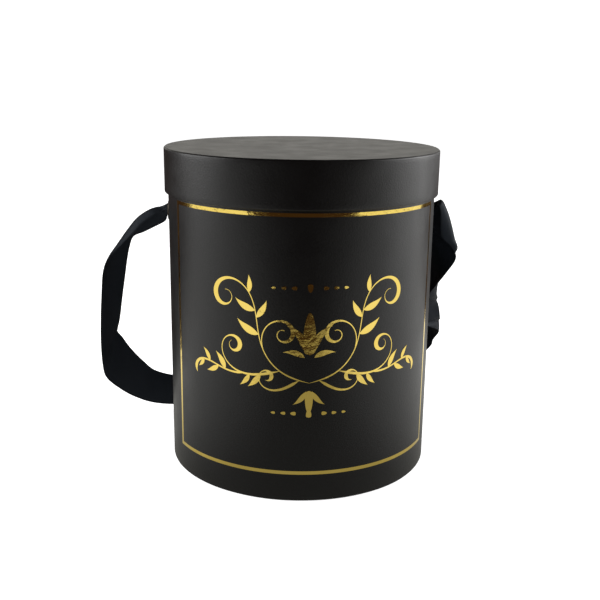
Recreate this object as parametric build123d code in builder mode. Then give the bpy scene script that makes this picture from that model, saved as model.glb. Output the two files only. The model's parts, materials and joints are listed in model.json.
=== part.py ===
"""Round hat box: greyboard body and lid covered in paper, gold foil panel, ribbon handle.

Millimetres, +Z up.  The origin is the centre of the base face, the foil panel faces -Y,
and the ribbon passes through an eyelet on the -X side and another on the +X side.
"""
from build123d import *
from math import cos, degrees, radians, sin
import os

# ---------------------------------------------------------------- driving dimensions
BODY_RADIUS = 90.0          # outside of the covered body
BOX_HEIGHT = 216.6          # base face to the top of the closed lid
LID_HEIGHT = 29.8
PAPER = 0.25                # covering and lining papers
BODY_BOARD = 2.0            # greyboard of the body wall and base
LID_RIM_BOARD = 1.5
LID_TOP_BOARD = 2.0
LID_SIDE_GAP = 0.4          # body outside to the lid lining, all round
LID_TOP_GAP = 0.35          # body rim to the lid ceiling

COVER_CORNER = 1.0          # outer corner of a paper-covered edge
BOARD_CORNER = COVER_CORNER - PAPER
BODY_TURN_IN = 15.0         # body paper folded down inside the mouth
LID_TURN_IN = 12.0          # lid paper folded up inside the rim
LID_TURN_OVER = 8.0         # lid paper folded over the top board
BASE_TURN_UNDER = 14.0
COVER_INSET = 4.0           # base cover disc inside the body outline
TOP_COVER_INSET = 0.8       # top cover disc inside the lid outline
LINING_LAP = 6.5            # lining pasted over the turned-in paper

FOIL = 0.2
FOIL_LINE = 2.3
PANEL_HALF_ANGLE = 64.5
PANEL_TOP = 184.1
PANEL_BOTTOM = 19.8
SPRIG_HEIGHT = 108.0        # leafy sprig in the middle of the panel
SPRIG_HALF_ANGLE = 46.0
STEM_WIDTH = 1.4
DIAMOND_SIZE = 6.0
LEAF_PAIRS = 4              # on each of the two branches
FIRST_LEAF_ANGLE = 5.0
LEAF_STEP_ANGLE = 9.5
LEAF_LENGTH = 30.0
LEAF_HALF_WIDTH = 3.8
LEAF_SLANT = 50.0

HANDLE_HEIGHT = 173.0       # ribbon holes above the base face
EYELET_BORE = 4.4
EYELET_BARREL = 5.0
EYELET_FLANGE = 6.8
EYELET_DOME = 0.6
WALL_HOLE = 5.05
WASHER_OUTER_FACE = 87.1    # distance from the box axis
WASHER_THICK = 0.5
CLENCH_RADIUS = 6.4
WASHER_RADIUS = 8.0

RIBBON_THICK = 1.0          # stiffened to a thin solid
NECK = 4.2                  # ribbon bunched to pass an eyelet
KNOT_FACE = 85.0            # where the neck meets the knot, from the box axis
KNOT_LENGTH = 9.0
KNOT_RADIUS = 8.0
TAIL_LENGTH = 20.0

# ---------------------------------------------------------------- derived dimensions
BODY_OUTER = BODY_RADIUS - PAPER
BODY_INNER = BODY_OUTER - BODY_BOARD
LINING_INNER = BODY_INNER - PAPER
BASE_BOARD_BOTTOM = 2 * PAPER
BASE_BOARD_TOP = BASE_BOARD_BOTTOM + BODY_BOARD
FLOOR = BASE_BOARD_TOP + PAPER

CEILING_COVER = BOX_HEIGHT - PAPER
LID_BOARD_TOP = BOX_HEIGHT - 2 * PAPER
LID_BOARD_BOTTOM = LID_BOARD_TOP - LID_TOP_BOARD
LID_CEILING = LID_BOARD_BOTTOM - PAPER
LID_BOTTOM = BOX_HEIGHT - LID_HEIGHT
LID_LINING_INNER = BODY_RADIUS + LID_SIDE_GAP
LID_INNER = LID_LINING_INNER + PAPER
LID_OUTER = LID_INNER + LID_RIM_BOARD
LID_RADIUS = LID_OUTER + PAPER
BODY_TOP = LID_CEILING - LID_TOP_GAP
BODY_BOARD_TOP = BODY_TOP - PAPER

FOIL_RADIUS = BODY_RADIUS + FOIL

os.makedirs("parts", exist_ok=True)


def save(piece, name):
    """Label a finished piece and write it as one STEP file."""
    piece.part.label = name
    export_step(piece.part, f"parts/{name}.step")


def at_corner(vertex, corners):
    """True where a sketch vertex stands on one of the listed corners."""
    return any(abs(vertex.X - x) + abs(vertex.Y - y) < 1e-4 for x, y in corners)


# ---------------------------------------------------------------- body: boards
with BuildPart() as body_tube:
    with BuildSketch(Plane.XZ):
        with BuildLine():
            Polyline(
                (BODY_INNER, BASE_BOARD_BOTTOM),
                (BODY_OUTER, BASE_BOARD_BOTTOM),
                (BODY_OUTER, BODY_BOARD_TOP),
                (BODY_INNER, BODY_BOARD_TOP),
                close=True,
            )
        wall_face = make_face()
        rounded = [
            (BODY_OUTER, BASE_BOARD_BOTTOM),
            (BODY_OUTER, BODY_BOARD_TOP),
            (BODY_INNER, BODY_BOARD_TOP),
        ]
        fillet([v for v in wall_face.vertices() if at_corner(v, rounded)], BOARD_CORNER)
    revolve(axis=Axis.Z)
    with BuildSketch(Plane.YZ):
        with Locations((0, HANDLE_HEIGHT)):
            Circle(WALL_HOLE)
    extrude(amount=BODY_RADIUS + 5, both=True, mode=Mode.SUBTRACT)
save(body_tube, "body_tube")

with BuildPart() as base_disc:
    with BuildSketch(Plane.XY.offset(BASE_BOARD_BOTTOM)):
        Circle(BODY_INNER)
    extrude(amount=BODY_BOARD)
save(base_disc, "base_disc")

# ---------------------------------------------------------------- body: papers
with BuildPart() as body_wrap:
    turn_in = BODY_BOARD_TOP - BODY_TURN_IN + PAPER
    turn_under = BODY_RADIUS - BASE_TURN_UNDER
    with BuildSketch(Plane.XZ):
        with BuildLine():
            Polyline(
                (turn_under, PAPER),
                (BODY_RADIUS, PAPER),
                (BODY_RADIUS, BODY_TOP),
                (LINING_INNER, BODY_TOP),
                (LINING_INNER, turn_in),
                (BODY_INNER, turn_in),
                (BODY_INNER, BODY_BOARD_TOP),
                (BODY_OUTER, BODY_BOARD_TOP),
                (BODY_OUTER, BASE_BOARD_BOTTOM),
                (turn_under, BASE_BOARD_BOTTOM),
                close=True,
            )
        wrap_face = make_face()
        outside = [(BODY_RADIUS, PAPER), (BODY_RADIUS, BODY_TOP), (LINING_INNER, BODY_TOP)]
        inside = [
            (BODY_INNER, BODY_BOARD_TOP),
            (BODY_OUTER, BODY_BOARD_TOP),
            (BODY_OUTER, BASE_BOARD_BOTTOM),
        ]
        wrap_face = fillet([v for v in wrap_face.vertices() if at_corner(v, outside)], COVER_CORNER)
        fillet([v for v in wrap_face.vertices() if at_corner(v, inside)], BOARD_CORNER)
    revolve(axis=Axis.Z)
    with BuildSketch(Plane.YZ):
        with Locations((0, HANDLE_HEIGHT)):
            Circle(WALL_HOLE)
    extrude(amount=BODY_RADIUS + 5, both=True, mode=Mode.SUBTRACT)
save(body_wrap, "body_wrap")

with BuildPart() as body_lining:
    lap_top = turn_in + LINING_LAP
    with BuildSketch(Plane.XZ):
        with BuildLine():
            Polyline(
                (LINING_INNER, FLOOR),
                (BODY_INNER, FLOOR),
                (BODY_INNER, turn_in),
                (LINING_INNER, turn_in),
                (LINING_INNER, lap_top),
                (LINING_INNER - PAPER, lap_top),
                (LINING_INNER - PAPER, turn_in - PAPER),
                (LINING_INNER, turn_in - PAPER),
                close=True,
            )
        make_face()
    revolve(axis=Axis.Z)
    with BuildSketch(Plane.YZ):
        with Locations((0, HANDLE_HEIGHT)):
            Circle(WALL_HOLE)
    extrude(amount=BODY_RADIUS + 5, both=True, mode=Mode.SUBTRACT)
save(body_lining, "body_lining")

with BuildPart() as base_lining:
    with BuildSketch(Plane.XY.offset(BASE_BOARD_TOP)):
        Circle(BODY_INNER)
    extrude(amount=PAPER)
save(base_lining, "base_lining")

with BuildPart() as base_cover:
    with BuildSketch(Plane.XY):
        Circle(BODY_RADIUS - COVER_INSET)
    extrude(amount=PAPER)
    with BuildSketch(Plane.XY.offset(PAPER)):
        Circle(turn_under)
    extrude(amount=PAPER)
save(base_cover, "base_cover")

# ---------------------------------------------------------------- body: gold foil
with BuildPart() as foil_border:
    line_angle = degrees(FOIL_LINE / BODY_RADIUS)
    first_angle = -90.0 - PANEL_HALF_ANGLE
    with BuildSketch(Plane.XZ.rotated((0, 0, first_angle))):
        for line_height in (PANEL_BOTTOM, PANEL_TOP):
            with Locations((BODY_RADIUS + FOIL / 2, line_height)):
                Rectangle(FOIL, FOIL_LINE)
    revolve(axis=Axis.Z, revolution_arc=2 * PANEL_HALF_ANGLE)
    for start_angle in (first_angle, first_angle + 2 * PANEL_HALF_ANGLE - line_angle):
        with BuildSketch(Plane.XZ.rotated((0, 0, start_angle))):
            with Locations((BODY_RADIUS + FOIL / 2, (PANEL_TOP + PANEL_BOTTOM) / 2)):
                Rectangle(FOIL, PANEL_TOP - PANEL_BOTTOM + FOIL_LINE)
        revolve(axis=Axis.Z, revolution_arc=line_angle)
save(foil_border, "foil_border")

foil_skin = Cylinder(FOIL_RADIUS, BODY_TOP, mode=Mode.PRIVATE) - Cylinder(
    BODY_RADIUS, BODY_TOP, mode=Mode.PRIVATE
)
foil_skin = Pos(0, 0, BODY_TOP / 2) * foil_skin

with BuildPart() as foil_sprig:
    for branch in (-1, 1):
        for index in range(LEAF_PAIRS):
            turn = radians(-90.0 + branch * (FIRST_LEAF_ANGLE + index * LEAF_STEP_ANGLE))
            outward = Vector(cos(turn), sin(turn), 0)
            foot = outward * (BODY_RADIUS - 2.0) + Vector(0, 0, SPRIG_HEIGHT)
            sideways = Vector(-sin(turn), cos(turn), 0) * branch * cos(radians(LEAF_SLANT))
            taper = 1.0 - 0.12 * index
            tip = LEAF_LENGTH * taper
            belly = LEAF_HALF_WIDTH * taper
            for side in (-1, 1):
                leaf_direction = sideways + Vector(0, 0, side * sin(radians(LEAF_SLANT)))
                with BuildSketch(Plane(foot, x_dir=leaf_direction, z_dir=outward)):
                    with BuildLine():
                        ThreePointArc((0, 0), (tip / 2, belly), (tip, 0))
                        ThreePointArc((0, 0), (tip / 2, -belly), (tip, 0))
                    make_face()
                extrude(amount=6.0)
    with BuildSketch(Plane.XZ.offset(BODY_RADIUS - 2.0)):
        with Locations((0, SPRIG_HEIGHT)):
            Rectangle(DIAMOND_SIZE, DIAMOND_SIZE, rotation=45)
    extrude(amount=4.0)
    with BuildSketch(Plane.XZ.rotated((0, 0, -90.0 - SPRIG_HALF_ANGLE))):
        with Locations((BODY_RADIUS, SPRIG_HEIGHT)):
            Rectangle(2 * FOIL, STEM_WIDTH)
    revolve(axis=Axis.Z, revolution_arc=2 * SPRIG_HALF_ANGLE)
    add(foil_skin, mode=Mode.INTERSECT)
save(foil_sprig, "foil_sprig")

# ---------------------------------------------------------------- body: eyelets and washers
for side, side_name in ((-1, "left"), (1, "right")):
    # The profile is drawn along the eyelet's axis: x runs out through the wall, y is a radius.
    hole_axis = Axis((0, 0, HANDLE_HEIGHT), (side, 0, 0))
    hole_plane = Plane((0, 0, HANDLE_HEIGHT), x_dir=(side, 0, 0), z_dir=(0, -side, 0))
    washer_inner_face = WASHER_OUTER_FACE - WASHER_THICK

    with BuildPart() as eyelet:
        with BuildSketch(hole_plane):
            with BuildLine():
                Line((washer_inner_face, EYELET_BARREL), (BODY_RADIUS, EYELET_BARREL))
                Line((BODY_RADIUS, EYELET_BARREL), (BODY_RADIUS, EYELET_FLANGE))
                ThreePointArc(
                    (BODY_RADIUS, EYELET_FLANGE),
                    (BODY_RADIUS + EYELET_DOME, (EYELET_FLANGE + EYELET_BORE) / 2),
                    (BODY_RADIUS + EYELET_DOME / 3, EYELET_BORE),
                )
                Line(
                    (BODY_RADIUS + EYELET_DOME / 3, EYELET_BORE),
                    (washer_inner_face - 0.3, EYELET_BORE),
                )
                ThreePointArc(
                    (washer_inner_face - 0.3, EYELET_BORE),
                    (washer_inner_face - 0.8, (CLENCH_RADIUS + EYELET_BORE) / 2),
                    (washer_inner_face, CLENCH_RADIUS),
                )
                Line((washer_inner_face, CLENCH_RADIUS), (washer_inner_face, EYELET_BARREL))
            make_face()
        revolve(axis=hole_axis)
    save(eyelet, f"{side_name}_eyelet")

    with BuildPart() as washer:
        with BuildSketch(hole_plane):
            with Locations((washer_inner_face + WASHER_THICK / 2, (WALL_HOLE + WASHER_RADIUS) / 2)):
                Rectangle(WASHER_THICK, WASHER_RADIUS - WALL_HOLE)
        revolve(axis=hole_axis)
    save(washer, f"{side_name}_washer")

# ---------------------------------------------------------------- lid: boards
with BuildPart() as lid_rim_tube:
    rim_bottom = LID_BOTTOM + PAPER
    with BuildSketch(Plane.XZ):
        with BuildLine():
            Polyline(
                (LID_INNER, rim_bottom),
                (LID_OUTER, rim_bottom),
                (LID_OUTER, LID_BOARD_TOP),
                (LID_INNER, LID_BOARD_TOP),
                close=True,
            )
        rim_face = make_face()
        outer_corners = [(LID_OUTER, rim_bottom), (LID_OUTER, LID_BOARD_TOP)]
        rim_face = fillet([v for v in rim_face.vertices() if at_corner(v, outer_corners)], BOARD_CORNER)
        fillet([v for v in rim_face.vertices() if at_corner(v, [(LID_INNER, rim_bottom)])], 0.5)
    revolve(axis=Axis.Z)
save(lid_rim_tube, "lid_rim_tube")

with BuildPart() as lid_disc:
    with BuildSketch(Plane.XY.offset(LID_BOARD_BOTTOM)):
        Circle(LID_INNER)
    extrude(amount=LID_TOP_BOARD)
save(lid_disc, "lid_disc")

# ---------------------------------------------------------------- lid: papers
with BuildPart() as lid_rim_wrap:
    turn_over = LID_RADIUS - LID_TURN_OVER
    turn_up = LID_BOTTOM + LID_TURN_IN
    with BuildSketch(Plane.XZ):
        with BuildLine():
            Polyline(
                (turn_over, CEILING_COVER),
                (LID_RADIUS, CEILING_COVER),
                (LID_RADIUS, LID_BOTTOM),
                (LID_LINING_INNER, LID_BOTTOM),
                (LID_LINING_INNER, turn_up),
                (LID_INNER, turn_up),
                (LID_INNER, rim_bottom),
                (LID_OUTER, rim_bottom),
                (LID_OUTER, LID_BOARD_TOP),
                (turn_over, LID_BOARD_TOP),
                close=True,
            )
        rim_wrap_face = make_face()
        outside = [(LID_RADIUS, CEILING_COVER), (LID_RADIUS, LID_BOTTOM)]
        inside = [(LID_OUTER, rim_bottom), (LID_OUTER, LID_BOARD_TOP)]
        small_outside = [(LID_LINING_INNER, LID_BOTTOM)]
        small_inside = [(LID_INNER, rim_bottom)]
        for corners, corner_radius in (
            (outside, COVER_CORNER),
            (inside, BOARD_CORNER),
            (small_outside, 0.75),
            (small_inside, 0.5),
        ):
            rim_wrap_face = fillet(
                [v for v in rim_wrap_face.vertices() if at_corner(v, corners)], corner_radius
            )
    revolve(axis=Axis.Z)
save(lid_rim_wrap, "lid_rim_wrap")

with BuildPart() as lid_top_cover:
    with BuildSketch(Plane.XY.offset(LID_BOARD_TOP)):
        Circle(turn_over)
    extrude(amount=PAPER)
    with BuildSketch(Plane.XY.offset(CEILING_COVER)):
        Circle(LID_RADIUS - TOP_COVER_INSET)
    extrude(amount=PAPER)
save(lid_top_cover, "lid_top_cover")

with BuildPart() as lid_rim_lining:
    lining_bottom = turn_up
    with BuildSketch(Plane.XY.offset(lining_bottom)):
        Circle(LID_INNER)
        Circle(LID_LINING_INNER, mode=Mode.SUBTRACT)
    extrude(amount=LID_CEILING - lining_bottom)
save(lid_rim_lining, "lid_rim_lining")

with BuildPart() as lid_disc_lining:
    with BuildSketch(Plane.XY.offset(LID_CEILING)):
        Circle(LID_INNER)
    extrude(amount=PAPER)
save(lid_disc_lining, "lid_disc_lining")

# ---------------------------------------------------------------- handle: ribbon
# Each station is the place of the ribbon's front or lower edge and the place of its other
# edge.  The ribbon leaves the left eyelet, falls past the box, creases, lies on edge behind
# the box and comes back up, with one turn in it, to the right eyelet.
STATIONS = [
    ((-94, 0.5, 175), (-93.5, 4.5, 168)),
    ((-101, 2, 171), (-101.5, 13.5, 160)),
    ((-110.5, 4, 164.5), (-110, 18, 156)),
    ((-117, 6, 156.5), (-118, 24, 151)),
    ((-125.5, 9, 147), (-121.5, 28, 143)),
    ((-134, 11.5, 137), (-124.5, 32, 132)),
    ((-138.5, 14.5, 126.5), (-126, 35.5, 121.5)),
    ((-141, 19, 108), (-129, 40, 102)),
    ((-143, 23, 87.5), (-132, 44.5, 84.5)),
    ((-144, 26, 68), (-134.5, 47.5, 75)),
    ((-144, 31, 50), (-134, 48.5, 72)),
    ((-142, 37, 39.5), (-131, 51, 66.5)),
    ((-136, 45.5, 29), (-126, 54.5, 57)),
    ((-125.5, 57, 17), (-118, 61.5, 45)),
    ((-110, 68, 7.5), (-108, 69.5, 33.5)),
    ((-88, 78, 2.5), (-88, 78, 27)),
    ((-61.5, 92.5, 1.5), (-61.5, 92.5, 26.5)),
    ((-28, 102, 1.5), (-28, 102, 26.5)),
    ((12, 103.5, 2.5), (12, 103.5, 27.5)),
    ((48.5, 95, 7), (48.5, 95, 32)),
    ((77.5, 79, 19), (74, 80, 43)),
    ((104.5, 55, 53.5), (89, 70, 71)),
    ((108, 46.5, 65), (108, 66.5, 73)),
    ((109, 36.5, 75), (111.5, 58.5, 78)),
    ((98.5, 24.5, 86), (111, 44, 83.5)),
    ((97, 15.5, 100), (107.5, 36.5, 96)),
    ((98, 7.5, 113), (99.5, 30, 111)),
    ((103.5, 0, 128.5), (97.5, 22, 134)),
    ((108.5, -5, 140.5), (94.5, 12, 152)),
    ((106.5, -8, 149), (95, 7.5, 158)),
    ((103, -9.5, 157), (95, 4.5, 162.5)),
    ((100.5, -9.5, 167), (94.5, 3.5, 166)),
    ((97, -6, 173.5), (94.5, 1.5, 170)),
]
BEYOND_WALL = 92.0          # the ribbon starts to open out here


def station_plane(index):
    """Plane of the ribbon's section at a station, its x axis from edge to edge."""
    middles = [(Vector(*front) + Vector(*back)) / 2 for front, back in STATIONS]
    before = middles[max(index - 1, 0)]
    after = middles[min(index + 1, len(STATIONS) - 1)]
    across = (Vector(*STATIONS[index][1]) - Vector(*STATIONS[index][0])).normalized()
    along = (after - before).normalized()
    along = (along - across * along.dot(across)).normalized()
    return Plane(middles[index], x_dir=across, z_dir=along)


def neck_plane(x):
    """Plane across the bunched ribbon inside an eyelet."""
    return Plane((x, 0, HANDLE_HEIGHT), x_dir=(0, 0, -1), z_dir=(1, 0, 0))


with BuildPart() as ribbon:
    for x in (-KNOT_FACE, -BEYOND_WALL):
        with BuildSketch(neck_plane(x)):
            Rectangle(NECK, NECK)
    for index, (front, back) in enumerate(STATIONS):
        folded_width = (Vector(*back) - Vector(*front)).length
        folded_thickness = max(RIBBON_THICK, NECK**2 / folded_width - RIBBON_THICK)
        with BuildSketch(station_plane(index)):
            Rectangle(folded_width, folded_thickness)
    for x in (BEYOND_WALL, KNOT_FACE):
        with BuildSketch(neck_plane(x)):
            Rectangle(NECK, NECK)
    loft(ruled=True)
save(ribbon, "ribbon")

# ---------------------------------------------------------------- handle: knots inside the box
for side, side_name in ((-1, "left"), (1, "right")):
    knot_axis = Axis((0, 0, HANDLE_HEIGHT), (side, 0, 0))
    knot_plane = Plane((0, 0, HANDLE_HEIGHT), x_dir=(side, 0, 0), z_dir=(0, -side, 0))
    knot_back = KNOT_FACE - KNOT_LENGTH
    with BuildPart() as knot:
        with BuildSketch(knot_plane):
            with BuildLine():
                Line((knot_back, 0), (KNOT_FACE, 0))
                Line((KNOT_FACE, 0), (KNOT_FACE, NECK))
                ThreePointArc(
                    (KNOT_FACE, NECK), (KNOT_FACE - KNOT_LENGTH / 2, KNOT_RADIUS), (knot_back, NECK)
                )
                Line((knot_back, NECK), (knot_back, 0))
            make_face()
        revolve(axis=knot_axis)
        tail_top = HANDLE_HEIGHT - KNOT_RADIUS / 2
        with BuildSketch(Plane((side * (knot_back + 2.5), 0, tail_top))):
            Rectangle(2.0, 12.0)
        extrude(amount=-TAIL_LENGTH)
    save(knot, f"{side_name}_knot")
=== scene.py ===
"""Round hat box in black paper with a gold foil panel and a satin ribbon handle.

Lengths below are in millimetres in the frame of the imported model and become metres
when a mesh is made.  The foil panel faces -Y, and the eyelets are on -X and +X.
"""
import json
import math

import bmesh
import bpy
import numpy as np
from mathutils import Matrix, Vector


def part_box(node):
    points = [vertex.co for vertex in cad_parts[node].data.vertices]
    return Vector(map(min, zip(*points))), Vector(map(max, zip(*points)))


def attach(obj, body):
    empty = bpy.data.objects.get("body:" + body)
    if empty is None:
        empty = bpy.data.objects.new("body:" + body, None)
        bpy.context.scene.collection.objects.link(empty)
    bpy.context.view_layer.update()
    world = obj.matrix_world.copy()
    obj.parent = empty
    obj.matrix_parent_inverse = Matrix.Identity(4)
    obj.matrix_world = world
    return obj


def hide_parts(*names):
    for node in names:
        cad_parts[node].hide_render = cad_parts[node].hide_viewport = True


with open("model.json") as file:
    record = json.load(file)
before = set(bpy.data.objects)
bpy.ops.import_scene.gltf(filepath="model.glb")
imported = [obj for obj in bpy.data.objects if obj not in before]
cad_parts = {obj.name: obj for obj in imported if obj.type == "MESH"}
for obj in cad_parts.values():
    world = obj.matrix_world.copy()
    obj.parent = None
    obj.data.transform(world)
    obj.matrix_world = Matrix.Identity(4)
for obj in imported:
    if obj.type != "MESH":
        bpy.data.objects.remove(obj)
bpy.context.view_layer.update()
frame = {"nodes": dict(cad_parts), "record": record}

MM = 0.001

# ---------------------------------------------------------------- sizes from the frame


def in_mm(node):
    """Lowest and highest corner of a CAD node, in millimetres."""
    low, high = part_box(node)
    return low / MM, high / MM


body_low, body_high = in_mm("body_wrap")
lid_low, lid_high = in_mm("lid_rim_wrap")
BODY_RADIUS = body_high.x
BODY_TOP = body_high.z
LID_RADIUS = lid_high.x
LID_BOTTOM = lid_low.z
BOX_TOP = in_mm("lid_top_cover")[1].z
TOP_COVER_RADIUS = in_mm("lid_top_cover")[1].x
BASE_COVER_RADIUS = in_mm("base_cover")[1].x
LID_CEILING = in_mm("lid_disc_lining")[0].z
FLOOR = in_mm("base_lining")[1].z
LINING_TOP = in_mm("body_lining")[1].z
HANDLE_HEIGHT = (in_mm("left_eyelet")[0].z + in_mm("left_eyelet")[1].z) / 2
PANEL_LOW, PANEL_HIGH = in_mm("foil_border")

PAPER = 0.25
BOARD = 2.0
CORNER = 1.0                        # outer corner of a covered edge
WALL_HOLE = 5.05                    # radius of the holes for the eyelets
RIBBON_WIDTH = 25.0
RIBBON_THICK = 0.35
LINING_RADIUS = BODY_RADIUS - 2 * PAPER - BOARD
LID_GAP = 0.4
LID_LINING_RADIUS = BODY_RADIUS + LID_GAP
SEAM_ANGLE = math.radians(90)       # the papers' joins are at the back
SEAM_LAP = 12.0
LAP_STEP = 0.12                     # a join is pressed down to this step
FACETS = 288                        # round the box
CORNER_STEPS = 6                    # round each corner of a paper's section
DISC_RINGS = 24
DISC_SOFTENING = 0.08               # of a paper disc's rim
CRISP = math.radians(40)            # edges that turn by more than this aren't smoothed


# ---------------------------------------------------------------- camera
CAMERA_TURN = math.radians(-4.0)    # the camera stands a little left of the panel's middle
CAMERA_DISTANCE = 603.7
CAMERA_SIDE = -0.6
CAMERA_HEIGHT = 267.5
CAMERA_PITCH = math.radians(14.683)
CAMERA_YAW = math.radians(0.065)
CAMERA_ROLL = math.radians(0.775)
LENS = 53.1


def make_camera():
    """A level camera turned down, then rolled, in the plane that faces the panel."""
    turn = Matrix.Rotation(CAMERA_TURN, 3, "Z")
    ahead = Vector((
        math.sin(CAMERA_YAW) * math.cos(CAMERA_PITCH),
        math.cos(CAMERA_YAW) * math.cos(CAMERA_PITCH),
        -math.sin(CAMERA_PITCH),
    ))
    level = Vector((math.cos(CAMERA_YAW), -math.sin(CAMERA_YAW), 0))
    over = level.cross(ahead)
    right = level * math.cos(CAMERA_ROLL) + over * math.sin(CAMERA_ROLL)
    up = over * math.cos(CAMERA_ROLL) - level * math.sin(CAMERA_ROLL)
    axes = Matrix((turn @ right, turn @ up, turn @ -ahead)).transposed()
    place = turn @ Vector((CAMERA_SIDE, -CAMERA_DISTANCE, CAMERA_HEIGHT)) * MM
    data = bpy.data.cameras.new("camera")
    data.lens = LENS
    data.sensor_width = 36.0
    data.clip_start = 0.01
    data.clip_end = 50.0
    camera = bpy.data.objects.new("camera", data)
    camera.matrix_world = Matrix.Translation(place) @ axes.to_4x4()
    bpy.context.scene.collection.objects.link(camera)
    bpy.context.scene.camera = camera


make_camera()

# ---------------------------------------------------------------- node helpers


class Nodes:
    """A short way to write a material's nodes."""

    def __init__(self, name):
        self.material = bpy.data.materials.new(name)
        self.material.use_nodes = True
        self.tree = self.material.node_tree
        self.tree.nodes.clear()
        self.shader = self.add("ShaderNodeBsdfPrincipled")
        output = self.add("ShaderNodeOutputMaterial")
        self.link(self.shader.outputs[0], output.inputs[0])

    def add(self, kind, **values):
        node = self.tree.nodes.new(kind)
        for key, value in values.items():
            setattr(node, key, value)
        return node

    def link(self, source, target):
        self.tree.links.new(source, target)

    def feed(self, name, source):
        """Links a node to one of the shader's sockets."""
        self.link(source, self.shader.inputs[name])

    def set(self, **values):
        """Sets sockets of the shader, written with _ for a space."""
        for key, value in values.items():
            self.shader.inputs[key.replace("_", " ")].default_value = value

    def place(self):
        """Object coordinates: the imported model's frame, in metres."""
        return self.add("ShaderNodeTexCoord").outputs["Object"]

    def stretched(self, source, scale):
        mapping = self.add("ShaderNodeMapping")
        self.link(source, mapping.inputs["Vector"])
        mapping.inputs["Scale"].default_value = scale
        return mapping.outputs[0]

    def noise(self, source, scale, detail=3.0, roughness=0.5):
        node = self.add("ShaderNodeTexNoise")
        self.link(source, node.inputs["Vector"])
        node.inputs["Scale"].default_value = scale
        node.inputs["Detail"].default_value = detail
        node.inputs["Roughness"].default_value = roughness
        return node.outputs["Fac"]

    def cells(self, source, scale, feature="F1"):
        node = self.add("ShaderNodeTexVoronoi", feature=feature)
        self.link(source, node.inputs["Vector"])
        node.inputs["Scale"].default_value = scale
        return node.outputs["Distance"]

    def remap(self, source, low, high, to_low=0.0, to_high=1.0):
        node = self.add("ShaderNodeMapRange")
        self.link(source, node.inputs["Value"])
        for key, value in (
            ("From Min", low), ("From Max", high), ("To Min", to_low), ("To Max", to_high)
        ):
            node.inputs[key].default_value = value
        return node.outputs[0]

    def maths(self, operation, first, second=None):
        node = self.add("ShaderNodeMath", operation=operation)
        for index, value in enumerate((first, second)):
            if value is None:
                continue
            if isinstance(value, (int, float)):
                node.inputs[index].default_value = value
            else:
                self.link(value, node.inputs[index])
        return node.outputs[0]

    def mix(self, factor, first, second):
        """Two colours, mixed by a factor socket."""
        node = self.add("ShaderNodeMix", data_type="RGBA")
        self.link(factor, node.inputs["Factor"])
        for key, value in (("A", first), ("B", second)):
            socket = [s for s in node.inputs if s.name == key and s.type == "RGBA"][0]
            if isinstance(value, tuple):
                socket.default_value = (*value, 1.0)
            else:
                self.link(value, socket)
        return [s for s in node.outputs if s.type == "RGBA"][0]

    def bump(self, height, distance, strength=1.0, under=None):
        node = self.add("ShaderNodeBump")
        self.link(height, node.inputs["Height"])
        node.inputs["Distance"].default_value = distance
        node.inputs["Strength"].default_value = strength
        if under is not None:
            self.link(under, node.inputs["Normal"])
        return node.outputs[0]


# ---------------------------------------------------------------- materials


def black_paper():
    """Matt laminated paper with a fine pebbled grain, a little cloudy all over."""
    m = Nodes("black_paper")
    place = m.place()
    pebble = m.cells(place, 1100.0, "SMOOTH_F1")
    fibre = m.noise(place, 2600.0, 2.0)
    cloud = m.noise(place, 16.0, 3.0)
    base = m.mix(cloud, (0.0014, 0.0014, 0.0015), (0.0026, 0.0025, 0.0025))
    m.feed("Base Color", base)
    scuff = m.noise(place, 55.0, 4.0, 0.6)
    m.feed("Roughness", m.remap(scuff, 0.35, 0.65, 0.365, 0.435))
    m.set(Specular_IOR_Level=0.28)
    grain = m.bump(pebble, 0.00012, 0.5)
    grain = m.bump(fibre, 0.00003, 0.4, grain)
    m.feed("Normal", grain)
    return m.material


def lining_paper():
    """Plain uncoated black paper inside the box, with short pressed fibres."""
    m = Nodes("lining_paper")
    place = m.place()
    fibre = m.noise(m.stretched(place, (1.0, 1.0, 0.35)), 1800.0, 4.0)
    cloud = m.noise(place, 30.0, 3.0)
    base = m.mix(cloud, (0.014, 0.014, 0.014), (0.022, 0.022, 0.022))
    m.feed("Base Color", base)
    m.feed("Roughness", m.remap(fibre, 0.3, 0.7, 0.74, 0.86))
    m.set(Specular_IOR_Level=0.3)
    m.feed("Normal", m.bump(fibre, 0.00005, 0.6))
    return m.material


def greyboard():
    """Recycled board with flecks and pressed fibres."""
    m = Nodes("greyboard")
    place = m.place()
    fleck = m.noise(place, 900.0, 5.0, 0.7)
    cloud = m.noise(place, 60.0, 3.0)
    base = m.mix(cloud, (0.20, 0.175, 0.145), (0.28, 0.25, 0.21))
    flecked = m.mix(m.remap(fleck, 0.62, 0.72), base, (0.08, 0.07, 0.06))
    m.feed("Base Color", flecked)
    m.set(Roughness=0.9, Specular_IOR_Level=0.2)
    m.feed("Normal", m.bump(fleck, 0.0001, 0.5))
    return m.material


def gold_foil():
    """Hot-stamped metallic film that follows the paper's grain a little."""
    m = Nodes("gold_foil")
    place = m.place()
    grain = m.cells(place, 1100.0, "SMOOTH_F1")
    cloud = m.noise(place, 90.0, 3.0)
    base = m.mix(cloud, (0.64, 0.465, 0.095), (0.71, 0.545, 0.15))
    m.feed("Base Color", base)
    m.feed("Roughness", m.remap(cloud, 0.3, 0.7, 0.10, 0.17))
    m.set(Metallic=1.0)
    ripple = m.bump(m.noise(place, 200.0, 2.0), 0.00018, 1.0)
    m.feed("Normal", m.bump(grain, 0.00005, 0.3, ripple))
    return m.material


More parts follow.
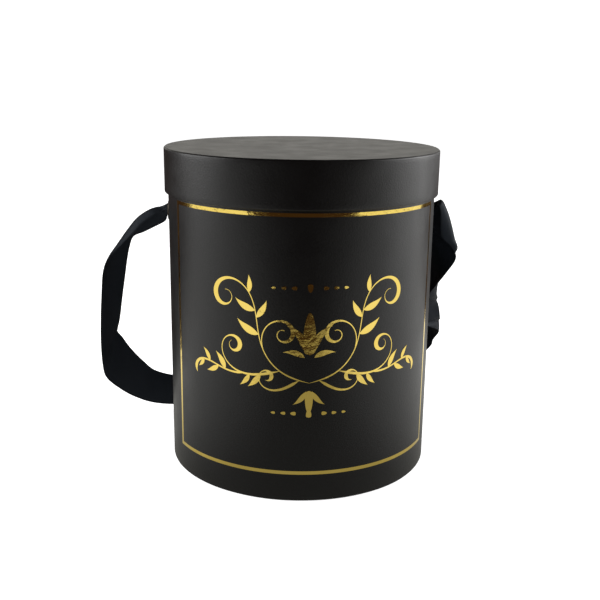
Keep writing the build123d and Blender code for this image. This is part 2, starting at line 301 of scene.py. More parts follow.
def eyelet_brass():
    """Pressed brass, blackened by its lacquer, with light drawing marks and worn spots."""
    m = Nodes("eyelet_brass")
    place = m.place()
    tarnish = m.noise(place, 420.0, 4.0)
    marks = m.noise(m.stretched(place, (0.2, 3.0, 3.0)), 900.0, 2.0)
    worn = m.remap(tarnish, 0.45, 0.75)
    base = m.mix(worn, (0.060, 0.050, 0.038), (0.020, 0.017, 0.014))
    m.feed("Base Color", base)
    m.feed("Roughness", m.remap(tarnish, 0.3, 0.7, 0.28, 0.46))
    m.set(Metallic=1.0)
    m.feed("Normal", m.bump(marks, 0.00003, 0.4))
    return m.material


WARP_PITCH = 0.00032                # of the ribbon's weave, in metres
WEFT_PITCH = 0.00045
SELVAGE = 0.0011


def black_ribbon():
    """Woven satin: long warp floats, fine weft ridges, and a corded selvage at each edge."""
    m = Nodes("black_ribbon")
    uv = m.add("ShaderNodeUVMap", uv_map="cloth").outputs[0]
    split = m.add("ShaderNodeSeparateXYZ")
    m.link(uv, split.inputs[0])
    across, along = split.outputs[0], split.outputs[1]
    warp = m.maths("SINE", m.maths("MULTIPLY", across, 2 * math.pi / WARP_PITCH))
    weft = m.maths("SINE", m.maths("MULTIPLY", along, 2 * math.pi / WEFT_PITCH))
    half_width = RIBBON_WIDTH / 2 * MM
    from_middle = m.maths("ABSOLUTE", m.maths("SUBTRACT", across, half_width))
    selvage = m.remap(from_middle, half_width - SELVAGE, half_width - SELVAGE + 0.0003)
    slub = m.noise(m.stretched(uv, (1.0, 0.08, 1.0)), 900.0, 3.0)
    cloud = m.noise(uv, 60.0, 2.0)
    weave = m.maths("ADD", m.maths("MULTIPLY", warp, 0.35), m.maths("MULTIPLY", weft, 0.65))
    weave = m.maths("ADD", weave, m.maths("MULTIPLY", slub, 1.2))
    edge = m.maths("MULTIPLY", selvage, m.maths("ADD", weft, 2.0))
    height = m.maths("ADD", weave, m.maths("MULTIPLY", edge, 1.2))
    base = m.mix(cloud, (0.0092, 0.0106, 0.0131), (0.0122, 0.0140, 0.0172))
    m.feed("Base Color", m.mix(selvage, base, (0.0080, 0.0092, 0.0113)))
    m.feed("Roughness", m.remap(slub, 0.3, 0.7, 0.36, 0.48))
    m.set(Specular_IOR_Level=0.03, Specular_Tint=(0.62, 0.82, 1.0, 1.0), Anisotropic=0.4)
    m.feed("Normal", m.bump(height, 0.00003, 0.6))
    return m.material


MATERIALS = {
    "black_paper": black_paper(),
    "lining_paper": lining_paper(),
    "greyboard": greyboard(),
    "gold_foil": gold_foil(),
    "eyelet_brass": eyelet_brass(),
    "black_ribbon": black_ribbon(),
}

for part in frame["record"]["subparts"]:
    data = frame["nodes"][part["node"]].data
    data.materials.clear()
    data.materials.append(MATERIALS[part["material_slot"]])

# ---------------------------------------------------------------- mesh helpers


def make_piece(name, points, faces, body, slot, replaces=(), cloth=None):
    """A smooth closed mesh from millimetre points, riding on its body."""
    data = bpy.data.meshes.new(name)
    data.from_pydata([tuple(float(c) * MM for c in p) for p in points], [], faces)
    if cloth is not None:
        layer = data.uv_layers.new(name="cloth")
        for loop in data.loops:
            layer.data[loop.index].uv = cloth[loop.vertex_index]
    mesh = bmesh.new()
    mesh.from_mesh(data)
    bmesh.ops.remove_doubles(mesh, verts=mesh.verts, dist=1e-7)
    bmesh.ops.dissolve_degenerate(mesh, edges=mesh.edges, dist=1e-8)
    bmesh.ops.recalc_face_normals(mesh, faces=mesh.faces)
    mesh.to_mesh(data)
    mesh.free()
    for polygon in data.polygons:
        polygon.use_smooth = True
    data.materials.append(MATERIALS[slot])
    piece = bpy.data.objects.new(name, data)
    bpy.context.scene.collection.objects.link(piece)
    sharpen(piece)
    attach(piece, body)
    if replaces:
        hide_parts(*replaces)
    return piece


def sharpen(piece):
    """Keeps the edges that turn a lot crisp."""
    mesh = bmesh.new()
    mesh.from_mesh(piece.data)
    for edge in mesh.edges:
        edge.smooth = not (edge.is_manifold and edge.calc_face_angle(0.0) > CRISP)
    mesh.to_mesh(piece.data)
    mesh.free()


def outline(corners, step):
    """Samples of a path with rounded corners, as (r, z, normal r, normal z).

    corners is a list of (r, z, radius).  The normal is to the right of the way along."""
    samples = []

    def straight(start, end):
        run = end - start
        if run.length < 1e-6:
            return
        way = run.normalized()
        count = max(1, math.ceil(run.length / step))
        for i in range(count + 1):
            spot = start + run * i / count
            samples.append((spot.x, spot.y, way.y, -way.x))

    here = Vector(corners[0][:2])
    for index in range(1, len(corners)):
        corner = Vector(corners[index][:2])
        radius = corners[index][2]
        if index == len(corners) - 1 or radius == 0:
            straight(here, corner)
            here = corner
            continue
        onward = (Vector(corners[index + 1][:2]) - corner).normalized()
        back = (here - corner).normalized()
        trim = radius / math.tan(back.angle(onward) / 2)
        start, end = corner + back * trim, corner + onward * trim
        straight(here, start)
        middle = corner + (back + onward).normalized() * math.hypot(trim, radius)
        first = math.atan2(start.y - middle.y, start.x - middle.x)
        turn = math.atan2(end.y - middle.y, end.x - middle.x) - first
        turn = (turn + math.pi) % (2 * math.pi) - math.pi
        sign = 1.0 if turn > 0 else -1.0
        for i in range(1, CORNER_STEPS):
            angle = first + turn * i / CORNER_STEPS
            nr, nz = math.cos(angle), math.sin(angle)
            samples.append((middle.x + radius * nr, middle.y + radius * nz, sign * nr, sign * nz))
        here = end
    return samples


def wave(angle, height):
    """Faint unevenness of paper stretched over board, in millimetres."""
    return 0.03 * (
        math.sin(3 * angle + 0.021 * height)
        + math.sin(7 * angle - 0.043 * height + 1.3)
        + 0.6 * math.sin(13 * angle + 0.09 * height + 0.4)
    )


def wound_sheet(corners, thickness, step=6.0, lap=SEAM_LAP, uneven=False):
    """Points and faces of one paper wound round the axis, its end lapped over its start."""
    section = outline(corners, step)
    radius = max(s[0] for s in section)
    extra = lap / radius        # the angle that the end laps over the start
    count = FACETS + round(FACETS * extra / (2 * math.pi))
    points, faces = [], []
    ring = 2 * len(section)
    for i in range(count + 1):
        angle = SEAM_ANGLE + 2 * math.pi * i / FACETS
        past = (angle - SEAM_ANGLE - 2 * math.pi) / extra
        lift = LAP_STEP * min(1.0, max(0.0, (past + 0.25) / 0.25))
        for side in (0.0, 1.0):
            for r, z, nr, nz in section:
                out = lift - side * thickness
                if uneven:
                    out += wave(angle, z)
                spot = max(r + nr * out, 0.0)
                points.append((spot * math.cos(angle), spot * math.sin(angle), z + nz * out))
    last = len(section) - 1
    for i in range(count):
        a, b = i * ring, (i + 1) * ring
        for j in range(last):
            faces.append((a + j, b + j, b + j + 1, a + j + 1))
            k = len(section) + j
            faces.append((a + k, a + k + 1, b + k + 1, b + k))
        faces.append((a, a + len(section), b + len(section), b))
        faces.append((a + last, b + last, b + ring - 1, a + ring - 1))
    for a in (0, count * ring):
        for j in range(last):
            k = len(section) + j
            faces.append((a + j, a + j + 1, a + k + 1, a + k))
    return points, faces


def round_solid(section):
    """Points and faces of a closed section, a list of (r, z), turned all the way round."""
    points, faces = [], []
    n = len(section)
    for i in range(FACETS):
        angle = 2 * math.pi * i / FACETS
        points += [(r * math.cos(angle), r * math.sin(angle), z) for r, z in section]
    for i in range(FACETS):
        a, b = i * n, (i + 1) % FACETS * n
        faces += [(a + j, b + j, b + (j + 1) % n, a + (j + 1) % n) for j in range(n)]
    return points, faces


def punch_eyelet_holes(paper):
    """Cuts the two round holes that the eyelets pass through."""
    data = bpy.data.meshes.new("punch")
    punch = bmesh.new()
    along_x = Matrix.Translation((0, 0, HANDLE_HEIGHT * MM)) @ Matrix.Rotation(math.pi / 2, 4, "Y")
    bmesh.ops.create_cone(
        punch, cap_ends=True, segments=64, radius1=WALL_HOLE * MM, radius2=WALL_HOLE * MM,
        depth=3 * BODY_RADIUS * MM, matrix=along_x,
    )
    punch.to_mesh(data)
    punch.free()
    tool = bpy.data.objects.new("punch", data)
    bpy.context.scene.collection.objects.link(tool)
    cut = paper.modifiers.new("holes", "BOOLEAN")
    cut.object = tool
    cut.operation = "DIFFERENCE"
    cut.solver = "EXACT"
    bpy.context.view_layer.update()
    shape = paper.evaluated_get(bpy.context.evaluated_depsgraph_get())
    cut_data = bpy.data.meshes.new_from_object(shape)
    paper.modifiers.remove(cut)
    paper.data = cut_data
    bpy.data.objects.remove(tool)
    sharpen(paper)


def disc_section(radius, low, high):
    """Closed section of a disc with a softened rim, for round_solid."""
    rim = min(DISC_SOFTENING, (high - low) / 3)
    steps = [radius * i / DISC_RINGS for i in range(DISC_RINGS)]
    top = [(r, high) for r in reversed(steps)]
    bottom = [(r, low) for r in steps]
    edge = [(radius - rim, low), (radius, low + rim), (radius, high - rim), (radius - rim, high)]
    return bottom + edge + top


# ---------------------------------------------------------------- body papers
TURN_IN = 15.0
TURN_UNDER = 14.0

points, faces = wound_sheet(
    [
        (BODY_RADIUS - TURN_UNDER, body_low.z, 0),
        (BODY_RADIUS, body_low.z, CORNER),
        (BODY_RADIUS, BODY_TOP, CORNER),
        (LINING_RADIUS, BODY_TOP, CORNER),
        (LINING_RADIUS, BODY_TOP - TURN_IN, 0),
    ],
    PAPER,
    uneven=True,
)
body_paper = make_piece("body_paper", points, faces, "box", "black_paper", ["body_wrap"])

points, faces = wound_sheet(
    [
        (LINING_RADIUS - PAPER, LINING_TOP, 0),
        (LINING_RADIUS - PAPER, BODY_TOP - TURN_IN, 0),
        (LINING_RADIUS, BODY_TOP - TURN_IN - 1.0, 0),
        (LINING_RADIUS, FLOOR, 0),
    ],
    PAPER,
)
wall_lining = make_piece("wall_lining", points, faces, "box", "lining_paper", ["body_lining"])
punch_eyelet_holes(body_paper)
punch_eyelet_holes(wall_lining)

points, faces = round_solid(disc_section(LINING_RADIUS, FLOOR - PAPER, FLOOR))
make_piece("floor_lining", points, faces, "box", "lining_paper", ["base_lining"])

points, faces = round_solid(disc_section(BASE_COVER_RADIUS, 0.0, PAPER))
make_piece("underside_paper", points, faces, "box", "black_paper", ["base_cover"])

# ---------------------------------------------------------------- lid papers
LID_TURN_UP = 12.0
LID_TURN_OVER = 8.0
LID_INNER_CORNER = 0.75

points, faces = wound_sheet(
    [
        (LID_LINING_RADIUS, LID_BOTTOM + LID_TURN_UP, 0),
        (LID_LINING_RADIUS, LID_BOTTOM, LID_INNER_CORNER),
        (LID_RADIUS, LID_BOTTOM, CORNER),
        (LID_RADIUS, BOX_TOP - PAPER, CORNER),
        (LID_RADIUS - LID_TURN_OVER, BOX_TOP - PAPER, 0),
    ],
    PAPER,
    step=3.0,
    lap=8.0,
)
make_piece("lid_rim_paper", points, faces, "lid", "black_paper", ["lid_rim_wrap"])

points, faces = round_solid(disc_section(TOP_COVER_RADIUS, BOX_TOP - PAPER, BOX_TOP))
make_piece("lid_top_paper", points, faces, "lid", "black_paper", ["lid_top_cover"])

points, faces = wound_sheet(
    [
        (LID_LINING_RADIUS, LID_CEILING, 0),
        (LID_LINING_RADIUS, LID_BOTTOM + LID_TURN_UP, 0),
    ],
    PAPER,
    lap=6.0,
)
make_piece("lid_wall_lining", points, faces, "lid", "lining_paper", ["lid_rim_lining"])

points, faces = round_solid(disc_section(LID_LINING_RADIUS, LID_CEILING, LID_CEILING + PAPER))
make_piece("lid_ceiling_lining", points, faces, "lid", "lining_paper", ["lid_disc_lining"])

# ---------------------------------------------------------------- gold foil
FOIL_LINE = 2.3
PANEL_TOP = PANEL_HIGH.z - FOIL_LINE / 2
PANEL_BOTTOM = PANEL_LOW.z + FOIL_LINE / 2
PANEL_HALF = math.radians(64.5) * BODY_RADIUS
FOIL_RISE = 0.06
FOIL_SINK = 0.03
FRAME_ACROSS = 120          # points along the frame's top and bottom
FRAME_DOWN = 50             # and along its sides


def on_panel(across, height, rise):
    """A point on the front wall, from the distance along the wall and the height."""
    angle = across / BODY_RADIUS - math.pi / 2
    radius = BODY_RADIUS + wave(angle, height) + rise
    return radius * math.cos(angle), radius * math.sin(angle), height


def foil_strip(line, widths, rise):
    """Points and faces of a stamped stroke along a flat line, with a width at each point."""
    points, faces = [], []
    line = [Vector(p) for p in line]
    count = len(line)
    for i, spot in enumerate(line):
        way = line[min(i + 1, count - 1)] - line[max(i - 1, 0)]
        side = Vector((-way.y, way.x)).normalized() * widths[i] / 2
        for edge in (spot + side, spot - side):
            points.append(on_panel(edge.x, edge.y, rise))
            points.append(on_panel(edge.x, edge.y, -FOIL_SINK))
    for i in range(count - 1):
        a, b = 4 * i, 4 * i + 4
        faces += [(a, b, b + 2, a + 2), (a + 1, a + 3, b + 3, b + 1)]
        faces += [(a, a + 1, b + 1, b), (a + 2, b + 2, b + 3, a + 3)]
    end = 4 * (count - 1)
    faces += [(0, 2, 3, 1), (end, end + 1, end + 3, end + 2)]
    return points, faces


def joined(strips):
    """Several sets of points and faces as one."""
    points, faces = [], []
    for more_points, more_faces in strips:
        start = len(points)
        points += more_points
        faces += [tuple(i + start for i in face) for face in more_faces]
    return points, faces


def foil_frame():
    """The rectangular line round the panel, mitred at its corners."""
    loops = []
    for inset, rise in (
        (-FOIL_LINE / 2, FOIL_RISE), (FOIL_LINE / 2, FOIL_RISE),
        (FOIL_LINE / 2, -FOIL_SINK), (-FOIL_LINE / 2, -FOIL_SINK),
    ):
        half, top, bottom = PANEL_HALF - inset, PANEL_TOP - inset, PANEL_BOTTOM + inset
        across, down = range(FRAME_ACROSS), range(FRAME_DOWN)
        ring = [(-half + 2 * half * i / FRAME_ACROSS, top) for i in across]
        ring += [(half, top + (bottom - top) * i / FRAME_DOWN) for i in down]
        ring += [(half - 2 * half * i / FRAME_ACROSS, bottom) for i in across]
        ring += [(-half, bottom + (top - bottom) * i / FRAME_DOWN) for i in down]
        loops.append([on_panel(x, z, rise) for x, z in ring])
    n = len(loops[0])
    points = [p for loop in loops for p in loop]
    faces = []
    for k in range(4):
        a, b = k * n, (k + 1) % 4 * n
        faces += [(a + i, a + (i + 1) % n, b + (i + 1) % n, b + i) for i in range(n)]
    return points, faces


HAIRLINE = 0.55
LEAF_STEPS = 24
DROP_STEPS = 20
NARROWEST = 0.15            # width of a leaf's or a drop's point
LAYER = 0.004               # each stroke is stamped this much over the one before


def pen_stroke(start, heading, length, bends, heavy):
    """A pen's line that is heavier on its way down.

    bends are its turns, in degrees per millimetre, at even stops along the length."""
    count = max(24, round(length / 0.9))
    stops = np.linspace(0, 1, len(bends))
    spot, angle = Vector(start), math.radians(heading)
    line, widths = [], []
    for i in range(count + 1):
        t = i / count
        down = (0.5 - 0.5 * math.sin(angle)) ** 1.6
        taper = min(1.0, 0.12 + t / 0.10, 0.15 + (1 - t) / 0.10)
        line.append(spot.copy())
        widths.append(taper * (HAIRLINE + (heavy - HAIRLINE) * down))
        angle += math.radians(np.interp(t, stops, bends)) * length / count
        spot = spot + Vector((math.cos(angle), math.sin(angle))) * length / count
    return line, widths


def leaf(foot, heading, length, width, bend):
    """A pointed leaf whose middle line turns by bend degrees."""
    spot, angle = Vector(foot), math.radians(heading - bend / 2)
    line, widths = [], []
    for i in range(LEAF_STEPS + 1):
        t = i / LEAF_STEPS
        line.append(spot.copy())
        widths.append(max(NARROWEST, width * math.sin(math.pi * t ** 0.75) ** 1.15))
        angle += math.radians(bend) / LEAF_STEPS
        spot = spot + Vector((math.cos(angle), math.sin(angle))) * length / LEAF_STEPS
    return line, widths


def drop(foot, heading, length, width):
    """A rounded drop with its blunt end at its foot."""
    way = Vector((math.cos(math.radians(heading)), math.sin(math.radians(heading))))
    steps = range(DROP_STEPS + 1)
    line = [Vector(foot) + way * length * i / DROP_STEPS for i in steps]
    round_off = [1 - (2 * (i / DROP_STEPS) ** 0.6 - 1) ** 2 for i in steps]
    return line, [max(NARROWEST, width * math.sqrt(max(0.0, r))) for r in round_off]


def along(stroke, t):
    """Place and heading, in degrees, at a share of a stroke's length."""
    line = stroke[0]
    i = min(len(line) - 2, int(t * (len(line) - 1)))
    way = line[i + 1] - line[i]
    return line[i], math.degrees(math.atan2(way.y, way.x))


def right_half():
    """The scrolls, leaves and dots on the right of the middle."""
    main = pen_stroke((0, 80), 14, 132, [0.2, 1.9, 1.7, -0.2, -3.0, -5.0, -8.5, -15], 3.4)
    low = pen_stroke(along(main, 0.15)[0], -14, 84, [-0.4, 1.2, 2.6, 4.2, 7.5, 13, 19], 3.0)
    outer = pen_stroke(along(low, 0.28)[0], -6, 47, [0.8, 1.6, 0.4, -2.6, -6.5, -14], 2.6)
    inner = pen_stroke(along(main, 0.26)[0], 62, 62, [2.6, 4.0, 5.5, 8.0, 12, 20], 2.6)
    hook = pen_stroke(along(main, 0.05)[0], -30, 50, [-1.0, 2.0, 5.0, 9, 15, 22], 2.4)
    strokes = [main, low, outer, inner, hook]
    for stem, t, turn, length, width in (
        (main, 0.36, -48, 17, 4.6), (main, 0.44, 40, 13, 3.8), (main, 0.47, -52, 15, 4.2),
        (main, 0.56, 34, 11, 3.2), (low, 0.16, -38, 12, 3.6), (low, 0.24, -52, 10, 3.0),
        (outer, 0.30, 44, 13, 3.8), (outer, 0.42, -42, 11, 3.2), (outer, 0.56, 46, 10, 3.0),
        (outer, 0.68, -40, 8, 2.6),
    ):
        foot, heading = along(stem, t)
        strokes.append(leaf(foot, heading + turn, length, width, -0.7 * turn))
    strokes.append(leaf((2.3, 99), 58, 22, 4.6, -62))
    strokes.append(leaf((3.0, 96.5), 14, 14, 3.4, -50))
    strokes.append(leaf((1.9, 74.5), -48, 12, 3.2, 44))
    for height in (140, 60):
        for i in range(3):
            strokes.append(drop((8 + 6.5 * i, height), 0, 3.4 - 0.4 * i, 2.4 - 0.4 * i))
    return strokes


def scrolls():
    """Both halves of the ornament, and the drops on its middle line."""
    strips = []

    def stamp(line, widths):
        strips.append(foil_strip(line, widths, FOIL_RISE + LAYER * len(strips)))

    for line, widths in right_half():
        for mirror in (-1, 1):
            stamp([(mirror * p.x, p.y) for p in line], widths)
    for foot, heading, length, width in (
        (98, 90, 27, 8.0), (75, -90, 15, 5.0), (142.6, -90, 5.2, 3.4), (57.4, 90, 5.2, 3.4)
    ):
        stamp(*drop((0, foot), heading, length, width))
    return joined(strips)


points, faces = foil_frame()
make_piece("gold_frame", points, faces, "box", "gold_foil", ["foil_border"])
points, faces = scrolls()
make_piece("gold_scrolls", points, faces, "box", "gold_foil", ["foil_sprig"])

# ---------------------------------------------------------------- ribbon
# Each station is the place of the ribbon's front or lower edge, of its middle where the
# width is bowed, and of its other edge.  The ribbon leaves the left eyelet, falls past the
# box, creases, lies on edge behind the box and comes back up, with one turn in it, to the
# right eyelet.
STATIONS = [
    ((-85, -3, 173.5), (-85, 0.5, 175.5), (-85, 3, 171)),
    ((-91, -3.5, 173.5), (-91, 0.5, 176.5), (-91, 3.5, 169.5)),
    ((-94, -0.5, 172.5), (-95, 5.5, 174.5), (-93.5, 9, 164)),
    ((-101, 0, 169), (-103.5, 7, 172), (-101.5, 14, 159)),
    ((-109, 2, 163), (-112.5, 10, 166), (-109.5, 18.5, 154.5)),
    ((-115, 4, 156.5), (-119.5, 14, 158), (-117.5, 25.5, 150)),
    ((-124.5, 7, 147), (-127, 18, 147), (-121, 29.5, 142)),
    ((-134, 11.5, 137), (-132, 21.5, 137), (-123.5, 32.5, 131.5)),
    ((-138.5, 14.5, 126.5), (-134.5, 25, 124.5), (-125.5, 36, 121)),
    ((-141, 19, 108), (-137, 29, 105.5), (-129, 40, 101.5)),
    ((-143, 23, 87.5), (-138.5, 33, 86), (-132, 44.5, 84.5)),
    ((-144, 26, 68), None, (-134.5, 47.5, 75)),
    ((-144, 31, 50), None, (-134.5, 48, 72.5)),
    ((-142.5, 37, 39.5), None, (-131.5, 50.5, 67.5)),
    ((-136, 45.5, 29), None, (-126, 54, 57.5)),
    ((-125.5, 57, 17), None, (-118, 61.5, 45)),
    ((-110, 68, 7), None, (-108, 69.5, 33.5)),
    ((-88, 78, 2), None, (-88, 78, 26.5)),
    ((-61.5, 92.5, 1), None, (-61.5, 92.5, 26)),
    ((-28, 102, 1), None, (-28, 102, 26)),
    ((12, 103.5, 2), None, (12, 103.5, 27)),
    ((48.5, 95, 7), None, (48.5, 95, 32)),
    ((77.5, 79, 19), None, (74, 80, 43)),
    ((104.5, 55, 53.5), None, (89, 70, 71)),
    ((107.5, 46.5, 65), None, (108, 66.5, 73)),
    ((109, 36.5, 75), (111.5, 47, 76), (111.5, 58.5, 78)),
    ((99, 31.5, 80.5), (108.5, 42.5, 80.3), (112.3, 51.5, 80.5)),
    ((91.5, 26, 86), None, (110.9, 42, 83.5)),
    ((91, 19.5, 100.5), (99, 27.5, 98), (107.3, 34.5, 96)),
    ((92, 14.5, 106), (102.7, 22, 104.5), (103.2, 31.5, 102.5)),
    ((94, 9, 111.5), (101.5, 17.5, 110.5), (97, 31, 108)),
    ((103.5, 0, 128.5), (100, 10, 130.5), (95.5, 24, 134)),
    ((108.5, -5.5, 140.5), (103, 3, 144), (93.5, 12.5, 153)),
    ((103.5, -10, 149.5), (108, -4.5, 148.5), (93.5, 12, 158)),
    ((96, -12.5, 157), (106, -6.5, 156), (93, 9, 162)),
    ((94.5, -13.5, 167.5), (103, -6, 166.5), (93, 8, 165.5)),
    ((94, -13.5, 174.5), (99.5, -6, 175), (92.8, 7, 168)),
    ((92.5, -12.5, 178.5), (95.5, -5.5, 181), (92.6, 4.5, 169)),
    ((91, -3.5, 174.5), (91, 0.5, 177), (91, 3.5, 169)),
    ((85, -3, 173.5), (85, 0.5, 175.5), (85, 3, 171)),
]
STEPS = 14                  # rows of the mesh between two stations
STRANDS = 32                # columns across the width
PLEATS = 3
LOOSE = 0.22                # spare cloth left ungathered, as a share of the section
EDGE_THINNING = 0.45


def smooth_rows(table, steps):
    """Catmull-Rom rows through the rows of a table."""
    table = np.array(table, float)
    ends = np.vstack([2 * table[0] - table[1], table, 2 * table[-1] - table[-2]])
    rows = []
    for i in range(1, len(ends) - 2):
        a, b, c, d = ends[i - 1:i + 3]
        for t in np.arange(steps) / steps:
            rows.append(0.5 * (
                2 * b + (c - a) * t + (2 * a - 5 * b + 4 * c - d) * t ** 2
                + (3 * b - a - 3 * c + d) * t ** 3
            ))
    rows.append(table[-1])
    return np.array(rows)


def grid_normals(grid):
    """Unit normals of a grid of points."""
    normal = np.cross(np.gradient(grid, axis=0), np.gradient(grid, axis=1))
    return normal / np.linalg.norm(normal, axis=2)[..., None]


def run_along(points):
    """Distance along a line of points, at each point."""
    return np.concatenate([[0], np.cumsum(np.linalg.norm(np.diff(points, axis=0), axis=1))])


def ribbon_surface(stations, steps, strands):
    """Points and unit normals of the strip's middle surface, as grids.

    The width is bowed through the middle point, and where its section is narrower than the
    cloth it is gathered into small pleats that take up the rest."""
    table = []
    for near, middle, far in stations:
        halfway = (np.array(near) + np.array(far)) / 2
        bow = np.zeros(3) if middle is None else np.array(middle) - halfway
        table.append(np.concatenate([near, bow, far]))
    rows = smooth_rows(table, steps)
    near, bow, far = (rows[:, None, i:i + 3] for i in (0, 3, 6))
    t = np.linspace(0, 1, strands + 1)[None, :, None]
    grid = near * (1 - t) + far * t + bow * 4 * t * (1 - t)
    section = np.linalg.norm(np.diff(grid, axis=1), axis=2).sum(1)[:, None]
    spare = np.maximum(RIBBON_WIDTH / section - LOOSE, 1.0)
    depth = np.sqrt(2 * (spare ** 2 - 1)) * section / (2 * np.pi * PLEATS)
    t = t[..., 0]
    pleat = np.sin(2 * np.pi * PLEATS * (t + 0.03 * np.sin(5 * t)) + 0.6) * np.sin(np.pi * t) ** 0.3
    grid = grid + grid_normals(grid) * (depth * pleat)[..., None]
    return grid, grid_normals(grid)


def strip_mesh(grid, normal, thickness):
    """Closed mesh of a strip with a slightly thinned edge, and its cloth coordinates."""
    rows, columns = grid.shape[:2]
    edge = np.abs(np.linspace(-1, 1, columns))
    half = thickness / 2 * np.where(edge > 0.999, EDGE_THINNING, 1.0)[None, :, None]
    sides = [(grid + normal * half).reshape(-1, 3), (grid - normal * half).reshape(-1, 3)]
    points = np.concatenate(sides)
    across = np.linspace(0, RIBBON_WIDTH, columns) * MM
    length = run_along(grid[:, columns // 2])
    cloth = [(u, v * MM) for _ in range(2) for v in length for u in across]
    faces = []
    under = rows * columns
    for i in range(rows - 1):
        for j in range(columns - 1):
            a = i * columns + j
            b = a + columns
            faces.append((a, a + 1, b + 1, b))
            faces.append((under + a, under + b, under + b + 1, under + a + 1))
        for j in (0, columns - 1):
            a = i * columns + j
            faces.append((a, a + columns, under + a + columns, under + a))
    for i in (0, rows - 1):
        for j in range(columns - 1):
            a = i * columns + j
            faces.append((a, under + a, under + a + 1, a + 1))
    return points, faces, cloth


grid, normal = ribbon_surface(STATIONS, STEPS, STRANDS)
points, faces, cloth = strip_mesh(grid, normal, RIBBON_THICK)
ribbon = make_piece("ribbon_strip", points, faces, "handle", "black_ribbon", ["ribbon"], cloth)

# ---------------------------------------------------------------- knots
KNOT_REACH = 5.3            # from the knot's middle line to its axis
KNOT_CORD = 2.4             # radius of the bunched ribbon
KNOT_WEAVE = 1.9            # how far it passes over and under itself
KNOT_STEPS = 180
KNOT_SIDES = 20
TAIL_LENGTH = 20.0
TAIL_ROWS = 26
TAIL_NARROW = 5.0           # width at the knot
TAIL_SPREAD = 13.0          # how much wider it is at its end
TAIL_SLANT = 0.16
TAIL_PLEAT = 1.5


def knot_tube(side, knot_middle):
    """The ribbon's bunched end, knotted over and under itself inside the wall."""
    spots = []
    for i in range(KNOT_STEPS):
        t = 2 * math.pi * i / KNOT_STEPS
        spots.append((
            side * (knot_middle - KNOT_WEAVE * math.sin(3 * t)),
            KNOT_REACH * (math.sin(t) + 2 * math.sin(2 * t)) / 3,
            HANDLE_HEIGHT + KNOT_REACH * (math.cos(t) - 2 * math.cos(2 * t)) / 3,
        ))
    spots = np.array(spots)
    ahead = np.roll(spots, -1, axis=0) - np.roll(spots, 1, axis=0)
    ahead /= np.linalg.norm(ahead, axis=1)[:, None]
    level = np.cross(ahead, (1.0, 0.0, 0.0))
    level /= np.linalg.norm(level, axis=1)[:, None]
    over = np.cross(level, ahead)
    points, cloth, faces = [], [], []
    length = run_along(np.vstack([spots, spots[:1]]))
    for i in range(KNOT_STEPS):
        for j in range(KNOT_SIDES):
            a = 2 * math.pi * j / KNOT_SIDES
            fold = 1 + 0.10 * math.cos(5 * a + 0.5 * math.sin(0.2 * i))
            out = KNOT_CORD * fold * (1.15 * math.cos(a) * level[i] + 0.85 * math.sin(a) * over[i])
            points.append(spots[i] + out)
            cloth.append((RIBBON_WIDTH * MM * j / KNOT_SIDES, length[i] * MM))
    for i in range(KNOT_STEPS):
        a, b = i * KNOT_SIDES, (i + 1) % KNOT_STEPS * KNOT_SIDES
        for j in range(KNOT_SIDES):
            k = (j + 1) % KNOT_SIDES
            faces.append((a + j, b + j, b + k, a + k))
    return points, faces, cloth


def knot_tail(side, knot_middle):
    """The end past the knot, pleated where it comes out and cut on the slant."""
    across = np.linspace(-0.5, 0.5, STRANDS + 1)
    rows = []
    for i in range(TAIL_ROWS + 1):
        t = i / TAIL_ROWS
        spread = TAIL_NARROW + TAIL_SPREAD * t ** 0.8
        drop_by = TAIL_LENGTH * t * (1 - TAIL_SLANT * t * (across + 0.5))
        depth = TAIL_PLEAT * (1 - 0.6 * t)
        pleat = depth * np.cos(2 * np.pi * PLEATS * across)
        rows.append(np.stack([
            side * (knot_middle - 3.0 - 0.8 * math.sin(2.2 * t) + pleat),
            spread * across,
            HANDLE_HEIGHT - KNOT_REACH * 0.6 - drop_by,
        ], axis=1))
    grid = np.array(rows)
    return strip_mesh(grid, grid_normals(grid), RIBBON_THICK)


for side, side_name in ((-1, "left"), (1, "right")):
    knot_low, knot_high = in_mm(f"{side_name}_knot")
    knot_middle = (abs(knot_low.x) + abs(knot_high.x)) / 2
    points, faces, cloth = knot_tube(side, knot_middle)
    make_piece(f"{side_name}_knot_tied", points, faces, "handle", "black_ribbon",
               [f"{side_name}_knot"], cloth)
    points, faces, cloth = knot_tail(side, knot_middle)
    make_piece(f"{side_name}_knot_tail", points, faces, "handle", "black_ribbon", (), cloth)

# ---------------------------------------------------------------- stage and light
LIGHTS_AIM = 0.1                    # height that the softboxes face, in metres
FLOOR_HALF = 6                      # half the floor's side, in metres
TABLE_MIDDLE = (0.42, 0.41, 0.37)   # the lit table in front of the box
TABLE_SIDES = (1.36, 1.35, 1.30)    # and beside it
TABLE_CHANGE = (0.09, 0.26)         # where one turns into the other, in metres from the middle
TABLE_HEIGHT = -0.002               # just under the floor, which gloss passes through
TABLE_OUTLINE = [
    (-1.6, -1.28), (0, -0.40), (1.6, -1.28),
    (1.6, 0.68), (0.05, 0.17), (-0.05, 0.10), (-1.6, 0.43),
]
WORLD_LIGHT = (             # what each kind of ray sees of the world
    (None, (1.0, 1.0, 1.0), 0.3),
    ("Is Glossy Ray", (1.0, 0.56, 0.44), 0.05),
    ("Is Camera Ray", (1.0, 1.0, 1.0), 1.25),
)
RAY_KINDS = (
    "visible_camera", "visible_diffuse", "visible_glossy", "visible_transmission",
    "visible_volume_scatter", "visible_shadow",
)


def flat_sheet(name, corners, height, material):
    """A level sheet of the stage, in metres."""
    data = bpy.data.meshes.new(name)
    data.from_pydata([(x, y, height) for x, y in corners], [], [tuple(range(len(corners)))])
    data.materials.append(material)
    sheet = bpy.data.objects.new(name, data)
    bpy.context.scene.collection.objects.link(sheet)
    return sheet


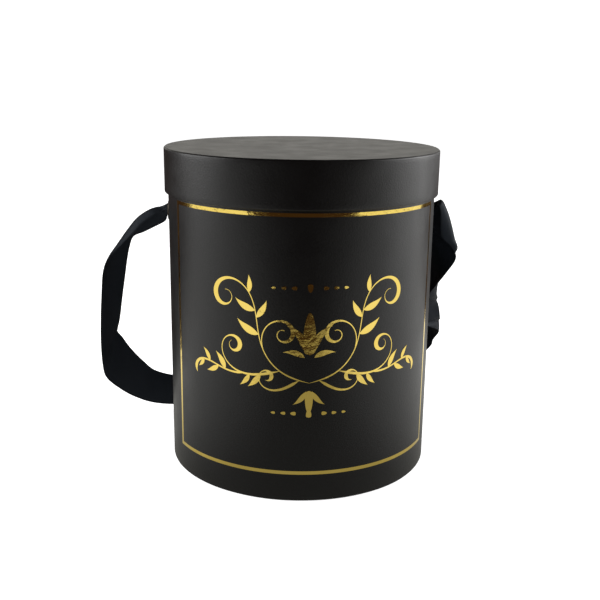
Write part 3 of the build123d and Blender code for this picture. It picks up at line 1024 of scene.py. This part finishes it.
def make_floor():
    """The pale floor, which the box's gloss doesn't see: it sees the table glow instead."""
    m = Nodes("floor")
    m.set(Base_Color=(0.88, 0.88, 0.88, 1.0), Roughness=0.9, Specular_IOR_Level=0.1)
    m.set(Emission_Color=(1.0, 1.0, 1.0, 1.0), Emission_Strength=0.8)
    corners = [(-FLOOR_HALF, -FLOOR_HALF), (FLOOR_HALF, -FLOOR_HALF),
               (FLOOR_HALF, FLOOR_HALF), (-FLOOR_HALF, FLOOR_HALF)]
    floor = flat_sheet("floor", corners, 0.0, m.material)
    floor.visible_glossy = False


def make_table_glow():
    """The lit table as the box's gloss sees it: brighter to the sides, and the room beyond."""
    m = Nodes("table_glow")
    split = m.add("ShaderNodeSeparateXYZ")
    m.link(m.place(), split.inputs[0])
    sideways = m.remap(m.maths("ABSOLUTE", split.outputs[0]), *TABLE_CHANGE)
    m.feed("Emission Color", m.mix(sideways, TABLE_MIDDLE, TABLE_SIDES))
    m.set(Base_Color=(0.0, 0.0, 0.0, 1.0), Specular_IOR_Level=0.0, Emission_Strength=1.0)
    glow = flat_sheet("table_glow", TABLE_OUTLINE, TABLE_HEIGHT, m.material)
    for ray in RAY_KINDS:
        setattr(glow, ray, ray == "visible_glossy")


def softbox(name, azimuth, distance, height, size, power, colour=(1.0, 1.0, 1.0), matt=True):
    """A rectangular light, at an azimuth from the front, aimed at the box.

    With matt=False it lights only glossy reflections."""
    data = bpy.data.lights.new(name, "AREA")
    data.shape = "RECTANGLE"
    data.size, data.size_y = size
    data.energy = power
    data.color = colour
    lamp = bpy.data.objects.new(name, data)
    turn = math.radians(azimuth)
    lamp.location = (distance * math.sin(turn), -distance * math.cos(turn), height)
    aim_at = Vector((0, 0, LIGHTS_AIM)) - Vector(lamp.location)
    lamp.rotation_mode = "QUATERNION"
    lamp.rotation_quaternion = aim_at.to_track_quat("-Z", "Y")
    lamp.visible_camera = False
    lamp.visible_diffuse = matt
    bpy.context.scene.collection.objects.link(lamp)


def make_world():
    """White behind everything, a low fill for matt surfaces, and a dark room for glossy ones."""
    world = bpy.data.worlds.new("studio")
    world.use_nodes = True
    world.cycles.sampling_method = "NONE"
    tree = world.node_tree
    tree.nodes.clear()
    path = tree.nodes.new("ShaderNodeLightPath")
    output = tree.nodes.new("ShaderNodeOutputWorld")
    shade = None
    for ray, colour, strength in WORLD_LIGHT:
        light = tree.nodes.new("ShaderNodeBackground")
        light.inputs["Color"].default_value = (*colour, 1.0)
        light.inputs["Strength"].default_value = strength
        if ray is None:
            shade = light
            continue
        mixer = tree.nodes.new("ShaderNodeMixShader")
        tree.links.new(path.outputs[ray], mixer.inputs[0])
        tree.links.new(shade.outputs[0], mixer.inputs[1])
        tree.links.new(light.outputs[0], mixer.inputs[2])
        shade = mixer
    tree.links.new(shade.outputs[0], output.inputs[0])
    bpy.context.scene.world = world


make_floor()
make_table_glow()
make_world()
bpy.context.scene.view_settings.view_transform = "Standard"
softbox("left_softbox", azimuth=-93, distance=1.25, height=0.52, size=(0.95, 0.75), power=16.0)
on_the_right = {"azimuth": 99, "distance": 1.2, "height": 0.52, "size": (1.0, 0.75)}
softbox("right_softbox", power=11.0, **on_the_right)
softbox("right_sheen", power=28.5, matt=False, **on_the_right)
softbox("back_softbox", azimuth=180, distance=1.6, height=0.75, size=(2.0, 0.9), power=4.8,
        colour=(1.0, 1.0, 0.93))
